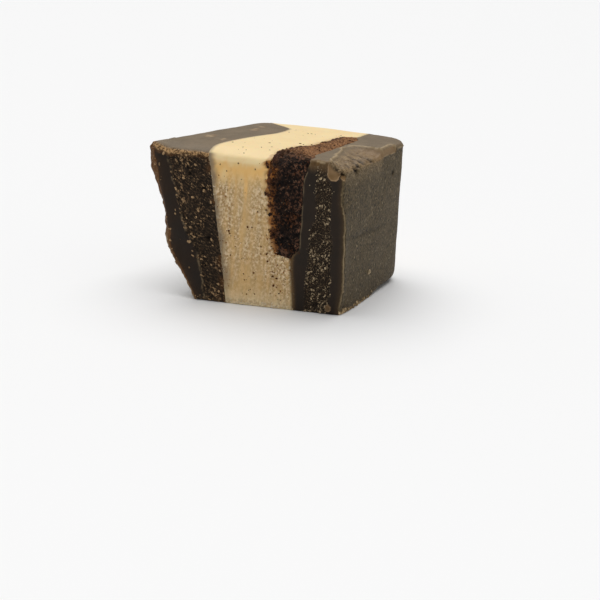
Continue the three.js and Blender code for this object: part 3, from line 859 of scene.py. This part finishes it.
# Right chocolate: a crumbled strip between two smooth ones, a pale lip along the front right edge, a
# smear with drips hanging over the front, and a chipped edge that slopes from a ridge to the skin
def rightChocolate(x, b, c):
    spec = rightBlock
    start, end = rightEnds(b, c)
    fromJoint = x - start
    within = inSocket(b, c, spec)
    atBack = ramp(b, *spec["footBack"]) * ramp(end - x, *spec["footSpan"])
    footRound = mix(block["edgeBottom"], spec["footRound"], atBack)
    spots, outward, near, share = carry(x, b, c, edgeBottom=footRound)
    side = facing(outward)
    front = side["front"]
    x, y, z = spots.T
    outX, outY, outZ = outward.T
    frontish = ramp(-outY, 0.1, 0.5)
    patchy, fine = cloud(spots, 1.1, 40), cloud(spots, 0.5, 41)
    bandLeft, bandRight = along(z, spec["bandLeft"]), along(z, spec["bandRight"])
    crumbled = front * ramp(x - bandLeft + 0.3 * patchy, -0.2, 0.3)
    crumbled *= ramp(bandRight - x + 0.3 * patchy, -0.2, 0.3)
    crags = 0.16 * cloud(spots, 1.3, 42) + 0.24 * lumpy(spots, 0.8, 43) + 0.1 * cloud(spots, 0.4, 56)
    chip, ridgeLine = chipSlope(x, y, spec)
    behind = ramp(y, *spec["chipBreak"])
    onTop = belowTop(share, 3)
    chipFace = np.clip(side["top"] + side["rightTop"], 0, 1)
    chipRough = (1 - behind) * ramp(chip, 0.02, 0.3) * chipFace
    chipCrags = 0.3 * lumpy(spots, 1.2, 47) + 0.2 * lumpy(spots, 0.5, 46) + 0.12 * fine
    drop = mix(*spec["chipDrop"], behind) * chip ** mix(*spec["chipPower"], behind)
    ridgeLine = side["top"] * ridgeLine * ramp(cloud(spots, 1.3, 48), -0.9, -0.2)
    bandFoot = bell(outZ, 0.25, 0.15) * ramp(outX, 0.3, 0.7) * behind * ramp(patchy, -0.6, 0.2)
    hanging = hangingOver(x + 0.12 * fine, z + 0.2 * patchy, spec)
    blob = frontish * ramp(hanging, 0.0, 0.12)
    outline = blob * fade(hanging, 0.08, np.where(z < 5, 0.5, 0.28))
    fringeFrom, fringeTo, fringeZ = spec["fringe"]
    strands = cloud(np.stack([x, 0 * x, 0 * x], axis=1), 0.5, 49)
    fringe = ramp(z - fringeZ - 0.6 * strands, -0.7, 1.3) * ramp(x, fringeFrom, fringeFrom + 0.8)
    fringe *= ramp(fringeTo - x, 0, 0.5) * frontish * (1 - blob)
    rough = crumbled * (1 - blob) * (1 - fringe)
    # a pale line on the rounded front top edge, placed by how far it faces up: tan crumbs in part, and in
    # part a painted highlight
    frontEdge = bell(outZ, 0.6, 0.2) * ramp(-outY, 0.2, 0.6) * ramp(fine + patchy, -0.4, 0.5)
    frontEdge *= ramp(x, *spec["edgeFrom"]) * (1 - blob)
    edgeX = rightSkin(0 * z, z / pieceHeight)
    corner = np.hypot(edgeX - x, np.maximum(0, y + 0.5))
    shift = (along(z, spec["edgeShift"]) + 0.12 * patchy) * bell(corner, 0, spec["edgeReach"]) * near
    lip = np.maximum(0, -2 * outX * outY) ** spec["lipPower"] * (0.9 + 0.3 * fine)
    lip *= ramp(z, *spec["lipFoot"]) * (1 - 0.75 * ramp(z, *spec["lipThin"]))
    lip *= fade(z, *spec["lipEnd"]) * (1 - behind)
    pits = dents(y, z - onTop * drop, spec["pits"])
    pits *= ramp(side["right"] + side["rightTop"] + chipRough, 0.1, 0.5)
    cornerPit = np.exp(-((spots - spec["cornerPit"][:3]) ** 2).sum(axis=1) / spec["cornerPit"][3] ** 2)
    crease = side["right"] * bell(z, along(y, spec["crease"]) + 0.25 * cloud(spots, 2.0, 50), 0.4)
    crease *= ramp(y, *spec["creaseStart"]) * fade(y, *spec["creaseEnd"])
    seam = front * within * bell(fromJoint, 0, 0.18) * ramp(patchy + fine, -0.6, 0.5)
    smooth = (skinWaves(spots) + 0.03 * fine) * (1 - front) + knifeDrag(spots) * front
    height = mix(smooth, crags - spec["sunk"], rough)
    height += frontish * np.sqrt(np.clip(hanging, 0, 1)) * 0.5 + 0.15 * fringe * (0.6 + 0.6 * strands)
    height += 0.3 * lip + 0.22 * ridgeLine + 0.2 * bandFoot + 0.05 * seam
    height += chipRough * ramp(chip, 0.1, 0.6) * chipCrags
    height -= 0.55 * pits + 0.14 * crease + 0.8 * cornerPit
    height *= 1 - side["bottom"]
    spots = spots + outward * (height * near)[:, None]
    spots[:, 0] += shift
    spots[:, 2] -= onTop * drop
    footRim = side["rightBottom"] * ramp(patchy + fine, -0.4, 0.5) * fade(y, *spec["footRimEnd"])
    upper = ramp(z + 0.3 * x, *spec["smearTop"])
    chipRim = np.maximum(chipRough * (1 - 0.7 * ramp(y, *spec["chipRimEnd"])), blob * upper)
    chipRim *= ramp(patchy + 0.6 * fine, -0.9, 0.5)
    bevel = ramp(y, *spec["bevel"]) * ramp(chip, 0.05, 0.6) * chipFace
    faded = side["right"] * (1 - behind) * ramp(z + 0.8 * patchy, *spec["fadeTop"])
    besideCream = front * (1 - within) * bell(fromJoint, 0, 0.45)
    besideLip = front * bell(x, edgeX - 0.4, 0.6)
    warm = [0.12 * besideLip, fringe * (0.55 + 0.3 * strands), 0.3 * chipRough, 0.5 * besideCream]
    # the ridge tone here also carries the front top edge's painted highlight
    ridge = (0.5 + 0.4 * bell(z, *spec["lipPale"])) * lip + ridgeLine + 0.4 * bandFoot
    ridge = ridge + 0.4 * seam + 0.9 * frontEdge
    # painted shade, near black, in the crags, pits, crease, chip and corner pit
    hollow = crumbled * ramp(-crags, 0.08, 0.28) * 0.65 + pits + 0.4 * crease
    hollow += 0.45 * chipRough * ramp(-chipCrags, 0.06, 0.16)
    marks = {
        "crumbled": rough,
        "rim": np.max([0.8 * footRim, 0.55 * chipRim, 0.35 * faded], axis=0),
        "smear": np.maximum(blob * (1 - upper) * mix(0.6, 1, ramp(z, 3, 6)), 0.6 * bevel),
        "pale": np.clip(0.35 * bevel + 0.95 * outline + blob * (0.15 + 0.3 * patchy), 0, 1),
        # the top and the rounded right top edge are painted paler: a painted sheen
        "skin": ramp(outX, 0.1, 0.5), "cap": np.clip(side["top"] + 0.8 * side["rightTop"], 0, 1),
        "warm": np.max(warm, axis=0),
        "ridge": np.clip(ridge, 0, 1), "hollow": np.clip(hollow, 0, 1) * (1 - blob) + cornerPit,
    }
    return spots, outward, marks


# Each slot's own surface, between its ends
surfaces = {
    "chocolate_left": (leftEnds, leftChocolate), "cream": (creamEnds, creamBody),
    "chocolate_right": (rightEnds, rightChocolate), "cookie": (asShare, cookieBody),
}


def addLayer(name, spec, material, slotName, nodeName):
    ends, shape = surfaces[slotName]
    shares, quads = boxGrid(spec["cells"])
    s, b, c = crowd(shares, spec.get("crowding", block["crowding"])).T
    spots, outward, marks = shape(mix(*ends(b, c), s), b, c)
    addPiece(name, spots, quads, marks, material, nodeName)


rightLook = {
    **chocolateLook, "cut": screen(39, 31, 23),
    "fleck": screen(172, 150, 118), "fleckDark": screen(100, 84, 64),
    "rim": screen(196, 168, 126), "rimDark": screen(108, 86, 58), "warm": screen(132, 100, 58),
    "flakeShape": (1, 1, 1.3), "flakeTurn": 10.0, "flake": (4.2, 0.57, 0.07),
}
leftMaterial = chocolateMaterial("chocolateLeft", chocolateLook)
rightMaterial = chocolateMaterial("chocolateRight", rightLook)
addLayer("leftChocolate", leftBlock, leftMaterial, "chocolate_left", "chocolate_layer_left")
addLayer("creamBody", creamBlock, creamMaterial("cream", creamLook), "cream", "cream_layer")
addLayer("rightChocolate", rightBlock, rightMaterial, "chocolate_right", "chocolate_layer_right")
addLayer("cookieChunk", cookieChunk, cookieMaterial("cookie", cookieLook), "cookie", "cookie_chunk")


# A bead: rings of points on a unit ball, closed by a point at each end, as triangles
def beadTemplate(sides=5, rings=2):
    heights = np.pi * np.arange(1, rings + 1) / (rings + 1)
    turns = 2 * np.pi * np.arange(sides) / sides
    high, turn = np.meshgrid(heights, turns, indexing="ij")
    ring = np.stack([np.sin(high) * np.cos(turn), np.sin(high) * np.sin(turn), np.cos(high)], axis=-1)
    spots = np.concatenate([[[0, 0, 1]], ring.reshape(-1, 3), [[0, 0, -1]]])
    one, two = np.arange(sides), (np.arange(sides) + 1) % sides
    last = len(spots) - 1
    parts = [np.stack([0 * one, 1 + one, 1 + two], axis=1)]
    for level in range(rings - 1):
        here, below = 1 + level * sides, 1 + (level + 1) * sides
        parts.append(np.stack([here + one, below + one, below + two], axis=1))
        parts.append(np.stack([here + one, below + two, here + two], axis=1))
    foot = 1 + (rings - 1) * sides
    parts.append(np.stack([foot + one, last + 0 * one, foot + two], axis=1))
    return spots, np.concatenate(parts)


# Uneven beads on a surface: each is flattened along the way out, stretched along its lie and jittered
def addBits(name, centres, outward, lie, halfSizes, tone, material):
    bead, faces = beadTemplate()
    count = len(centres)
    out = outward / np.linalg.norm(outward, axis=1, keepdims=True)
    lie = lie - out * (lie * out).sum(axis=1, keepdims=True)
    lie = lie / np.maximum(np.linalg.norm(lie, axis=1, keepdims=True), 1e-9)
    across = np.cross(out, lie)
    local = bead[None] * dice.uniform(0.45, 1.4, (count, len(bead), 1)) * halfSizes[:, None, :]
    spots = centres[:, None, :] + local @ np.stack([lie, across, out], axis=1)
    polygons = faces[None] + len(bead) * np.arange(count)[:, None, None]
    marks = {"tone": np.repeat(tone, len(bead))}
    addPiece(name, spots.reshape(-1, 3), polygons.reshape(-1, 3), marks, material)


bitDefaults = {"flat": 0.5, "wide": (0.3, 0.75)}  # thickness and width as shares of the length


# Bits of one kind: random places on a face, kept where the chance and a clumping cloud allow, and a few
# chosen ones, each an x, y, z and half length. Most are small: their range is filled by the cube of a draw.
def scatter(name, slotName, chance, spec, material):
    spec = {**bitDefaults, **spec}
    ends, shape = surfaces[slotName]
    low, high = np.array(spec["ranges"]).T
    s, b, c = (low + (high - low) * dice.random((spec["tries"], 3))).T
    spots, outward, marks = shape(mix(*ends(b, c), s), b, c)
    clumpSize, clumping = spec["clump"]
    kept = chance(spots, marks) * np.clip(0.45 + clumping * cloud(spots, clumpSize, 60), 0, 1)
    kept = dice.random(spec["tries"]) < kept
    spots, outward = spots[kept], outward[kept]
    half = mix(*spec["half"], dice.random(len(spots)) ** 3)
    tone = dice.random(len(spots))
    if "chosen" in spec:
        x, y, z, size = np.array(spec["chosen"], dtype=float).T
        b, c = y / pieceDepth, z / pieceHeight
        more, moreOutward, marks = shape(np.clip(x, *ends(b, c)), b, c)
        spots, outward = np.concatenate([spots, more]), np.concatenate([outward, moreOutward])
        half = np.concatenate([half, size])
        tone = np.concatenate([tone, np.full(len(size), spec["chosenTone"])])
    turn = np.radians(spec["lie"][0] + spec["lie"][1] * dice.standard_normal(len(spots)))
    lie = np.stack([np.cos(turn), 0.3 * np.sin(2 * turn), np.sin(turn)], axis=1)
    halfWidths = half * dice.uniform(*spec["wide"], len(half))
    halfSizes = np.stack([half, halfWidths, half * spec["flat"]], axis=1)
    addBits(name, spots, outward, lie, halfSizes, tone, material)


def evenChance(share):  # the same chance all over
    return lambda spots, marks: np.full(len(spots), share)


# Flakes in the left crumbled band, along its edge and on the rims, lying down to the right
leftFlakes = {
    "tries": 5000, "ranges": ((0, 1), (0, 0), (0, 1)), "clump": (2.2, 1.9), "half": (0.05, 0.42),
    "lie": (-38, 25), "chosenTone": 0.9,
    "chosen": ((-34.3, 0, 23.6, 0.45), (-32.0, 0, 20.0, 0.5), (-33.0, 0, 15.8, 0.4), (-32.0, 0, 11.3, 0.5),
               (-27.4, 0, 12.1, 0.45), (-27.0, 0, 7.1, 0.4), (-28.8, 0, 4.9, 0.5), (-30.0, 0, 22.5, 0.45),
               (-31.0, 0, 8.6, 0.4), (-38.8, 0, 28.7, 0.4), (-35.4, 0, 17.2, 0.3), (-36.2, 0, 13.3, 0.35),
               (-27.4, 0, 17.9, 0.4), (-28.0, 0, 19.5, 0.35), (-28.7, 0, 25.0, 0.35), (-27.0, 0, 11.0, 0.35),
               (-25.2, 0, 3.5, 0.45), (-24.9, 0, 2.2, 0.4), (-25.5, 0, 1.2, 0.35), (-29.7, 0, 21.5, 0.5)),
}


def leftChance(spots, marks):
    chance = 0.003 + 0.5 * marks["crumbled"] + 1.5 * marks["ridge"]
    chance = chance + 0.35 * marks["rim"] + 0.3 * marks["warm"]
    return np.clip(chance, 0, 1) * (1 - 0.7 * marks["hollow"])


leftFlake = bitMaterial("leftFlake", screen(84, 64, 46), screen(188, 154, 114))
scatter("leftFlakes", "chocolate_left", leftChance, leftFlakes, leftFlake)

# Flakes in the right crumbled strip, most of them low, and a few on the skin
rightFlakes = {
    "tries": 3800, "ranges": ((0, 1), (0, 0), (0, 1)), "clump": (1.4, 1.3), "half": (0.06, 0.36), "flat": 0.6,
    "lie": (70, 50), "chosenTone": 0.8,
    "chosen": ((-7.4, 0, 16.4, 0.28), (-6.7, 0, 15.4, 0.28), (-7.4, 0, 14.7, 0.25), (9, 14.1, 5.7, 0.85),
               (9, 6.0, 10.5, 0.3), (9, 7.1, 12.6, 0.25), (9, 16.4, 1.1, 0.55)),
}


def rightChance(spots, marks):
    lower = 0.65 + 0.35 * ramp(14 - spots[:, 2], 0, 8)
    return np.clip(0.006 + lower * marks["crumbled"], 0, 1) * (1 - 0.6 * marks["hollow"])


rightFlake = bitMaterial("rightFlake", screen(100, 84, 62), screen(204, 182, 148))
scatter("rightFlakes", "chocolate_right", rightChance, rightFlakes, rightFlake)

# A few flakes on the backs
backFlakes = {
    "tries": 260, "ranges": ((0, 1), (1, 1), (0.05, 0.95)), "clump": (3.0, 1.2), "half": (0.08, 0.34),
    "lie": (-38, 40),
}
scatter("leftBackFlakes", "chocolate_left", evenChance(0.35), backFlakes, leftFlake)
scatter("rightBackFlakes", "chocolate_right", evenChance(0.35), backFlakes, rightFlake)

# Tan crumbs along the foot of the right skin
footCrumbs = {
    "tries": 500, "ranges": ((1, 1), (0.0, 0.5), (0.0, 0.03)), "clump": (1.5, 0.6), "half": (0.12, 0.46),
    "flat": 0.7, "lie": (20, 40),
}


def footChance(spots, marks):
    return 0.75 * fade(spots[:, 1], 8, 16)


footCrumb = bitMaterial("footCrumb", screen(140, 116, 82), screen(220, 194, 152))
scatter("footCrumbs", "chocolate_right", footChance, footCrumbs, footCrumb)

# Dark specks in the cream's front, most of them low and in a cluster under the cookie
specks = {
    "tries": 1900, "ranges": ((0.04, 1), (0, 0), (0.05, 0.98)), "clump": (3.0, 0.3), "half": (0.09, 0.26),
    "flat": 0.4, "wide": (0.65, 1.0), "lie": (-30, 60), "chosenTone": 0.1,
    "cluster": (-13.6, 5.6, 5.0),  # x, z and the square of its radius
    "chosen": ((-23.9, 0, 14.3, 0.34), (-23.6, 0, 13.8, 0.26), (-26.6, 0, 27.5, 0.22), (-25.1, 0, 25.9, 0.2),
               (-22.8, 0, 28.9, 0.22), (-18.2, 0, 18.7, 0.24), (-20.0, 0, 15.5, 0.26), (-19.1, 0, 15.6, 0.24),
               (-17.0, 0, 12.0, 0.22), (-15.7, 0, 10.7, 0.3), (-15.5, 0, 9.2, 0.26), (-20.2, 0, 6.2, 0.26),
               (-18.1, 0, 6.6, 0.26), (-14.2, 0, 6.3, 0.34), (-13.4, 0, 6.0, 0.3), (-13.9, 0, 4.6, 0.3)),
}


def speckChance(spots, marks):
    x, y, z = spots.T
    middleX, middleZ, spread = specks["cluster"]
    cluster = np.exp(-((x - middleX) ** 2 + (z - middleZ) ** 2) / spread)
    return np.clip(0.04 + 0.26 * ramp(18 - z, 0, 6) - 0.15 * ramp(3 - z, 0, 2) + cluster, 0, 1)


speck = bitMaterial("speck", screen(80, 42, 16), screen(156, 100, 50))
scatter("creamSpecks", "cream", speckChance, specks, speck)

# Dark crumbs shed by the cookie onto the cream's front round it, and onto its top
shedCrumbs = {
    "tries": 4200, "ranges": ((0.75, 1), (0, 0), (0.3, 1)), "clump": (0.9, 1.2), "half": (0.07, 0.5),
    "wide": (0.5, 1.0), "lie": (40, 60),
}
topCrumbs = {
    "tries": 1500, "ranges": ((0.03, 1), (0.03, 0.86), (1, 1)), "clump": (2.0, 0.6), "half": (0.06, 0.26),
    "lie": (0, 80), "chosenTone": 0.2,
    "chosen": ((-15.1, 13.9, 30, 0.38), (-14.3, 13.4, 30, 0.25), (-12.9, 14.4, 30, 0.3),
               (-17.7, 25.6, 30, 0.22), (-20.5, 6.0, 30, 0.2), (-18.1, 4.5, 30, 0.2), (-11.0, 27.8, 30, 0.2)),
}


def shedChance(spots, marks):
    return 0.6 * marks["halo"] ** 2


def topChance(spots, marks):
    return 0.035 + 0.3 * marks["halo"]


cookieCrumb = bitMaterial("cookieCrumb", screen(26, 13, 8), screen(104, 64, 38))
scatter("shedCrumbs", "cream", shedChance, shedCrumbs, cookieCrumb)
scatter("topCrumbs", "cream", topChance, topCrumbs, cookieCrumb)

# Whitish crumbs along the cream's foot and its left joint
frostCrumbs = {
    "tries": 1600, "ranges": ((0, 1), (0, 0), (0, 0.85)), "clump": (1.8, 0.8), "half": (0.05, 0.2),
    "lie": (80, 40),
}


def frostChance(spots, marks):
    return np.clip(0.5 * marks["smudge"] + 0.1 * marks["frost"] + ramp(1.0 - spots[:, 2], 0, 0.8), 0, 1)


frostCrumb = bitMaterial("frostCrumb", screen(206, 184, 146), screen(250, 238, 214), 0.75)
scatter("frostCrumbs", "cream", frostChance, frostCrumbs, frostCrumb)

# Bits along the front's foot, of the layer that they lie on
footFrost = {
    "tries": 420, "ranges": ((0, 1), (0, 0), (0, 0.035)), "clump": (1.0, 0.9), "half": (0.08, 0.32),
    "flat": 0.7, "lie": (0, 40),
}
footFlakes = {**footFrost, "tries": 260}
rightFootFlakes = {**footFrost, "tries": 220, "ranges": ((0, 0.75), (0, 0), (0, 0.03))}
scatter("footFrost", "cream", evenChance(0.6), footFrost, frostCrumb)
scatter("footFlakes", "chocolate_left", evenChance(0.6), footFlakes, leftFlake)

# Crumbs of the cookie itself, on its front
cookieCrumbs = {
    "tries": 1900, "ranges": ((0.02, 0.98), (0, 0), (0.02, 1)), "clump": (2.0, 1.0), "half": (0.06, 0.45),
    "flat": 0.8, "lie": (0, 90),
}


def crumbChance(spots, marks):
    return 0.6 * (1 - marks["hollow"])


scatter("cookieCrumbs", "cookie", crumbChance, cookieCrumbs, cookieCrumb)
scatter("rightFootFlakes", "chocolate_right", evenChance(0.6), rightFootFlakes, rightFlake)

# Crumbs on the cookie's top, with larger dark ones along its border at the front
openCrumbs = {
    "tries": 900, "ranges": ((0.02, 0.98), (0, 0.95), (1, 1)), "clump": (1.6, 1.2), "half": (0.06, 0.3),
    "flat": 0.7, "lie": (0, 90), "chosenTone": 0.05,
    "chosen": ((0.2, 2.2, 30, 0.5), (0.3, 4.2, 30, 0.5), (0.08, 3.2, 30, 0.4), (0.12, 5.6, 30, 0.35),
               (0.05, 8.0, 30, 0.3)),
}
openCrumb = bitMaterial("openCrumb", screen(56, 31, 18), screen(160, 116, 80))
scatter("openCrumbs", "cookie", crumbChance, openCrumbs, openCrumb)


stage = {
    "floor": 12.0, "floorTone": (0.9, 0.9, 0.9, 1), "floorRough": 0.8, "world": 0.3, "backdrop": 0.9,
    "skyLight": 2.5, "skyWidth": 70.0, "skyFrom": (-0.15, 0.3, 1.0),
}

mesh = bpy.data.meshes.new("floor")
half = stage["floor"] / 2
mesh.from_pydata([(-half, -half, 0), (half, -half, 0), (half, half, 0), (-half, half, 0)], [], [(0, 1, 2, 3)])
floor = bpy.data.objects.new("floor", mesh)
bpy.context.scene.collection.objects.link(floor)
plain = {"Base Color": stage["floorTone"], "Roughness": stage["floorRough"]}
mesh.materials.append(newMaterial("floor", plain)[0])

world = bpy.data.worlds.new("studio")
world.use_nodes = True
studio = world.node_tree
background = studio.nodes["Background"]
background.inputs["Color"].default_value = (1, 1, 1, 1)
seen = addNode(studio, "LightPath").outputs["Is Camera Ray"]  # a pale backdrop that adds no light
paler = times(studio, seen, stage["backdrop"] - stage["world"])
feed(studio, background.inputs["Strength"], maths(studio, "ADD", paler, stage["world"]))
bpy.context.scene.world = world


def addSkyLight():  # a wide soft source far above, a little behind the piece
    light = bpy.data.lights.new("skyLight", "SUN")
    light.energy = stage["skyLight"]
    light.angle = np.radians(stage["skyWidth"])
    lamp = bpy.data.objects.new("skyLight", light)
    lamp.rotation_euler = (-Vector(stage["skyFrom"])).to_track_quat("-Z", "Y").to_euler()
    bpy.context.scene.collection.objects.link(lamp)


addSkyLight()

view = {
    "place": (0.07873, -0.21247, 0.06557), "azimuth": 19.0, "pitch": 17.0, "roll": 3.0,
    "lens": 66.0, "sensor": 36.0, "nearest": 0.005,
}
azimuth, pitch, roll = (np.radians(view[name]) for name in ("azimuth", "pitch", "roll"))
ahead = Vector((-np.sin(azimuth) * np.cos(pitch), np.cos(azimuth) * np.cos(pitch), -np.sin(pitch)))
rightward = Vector((np.cos(azimuth), np.sin(azimuth), 0))
upward = rightward.cross(ahead)
turned = Matrix((rightward, upward, -ahead)).transposed() @ Matrix.Rotation(roll, 3, "Z")
camera = bpy.data.objects.new("camera", bpy.data.cameras.new("camera"))
camera.data.lens = view["lens"]
camera.data.sensor_width = view["sensor"]
camera.data.clip_start = view["nearest"]
camera.matrix_world = Matrix.Translation(view["place"]) @ turned.to_4x4()
bpy.context.scene.collection.objects.link(camera)
bpy.context.scene.camera = camera
bpy.context.scene.view_settings.view_transform = "Standard"
print("stage, lights and camera set")
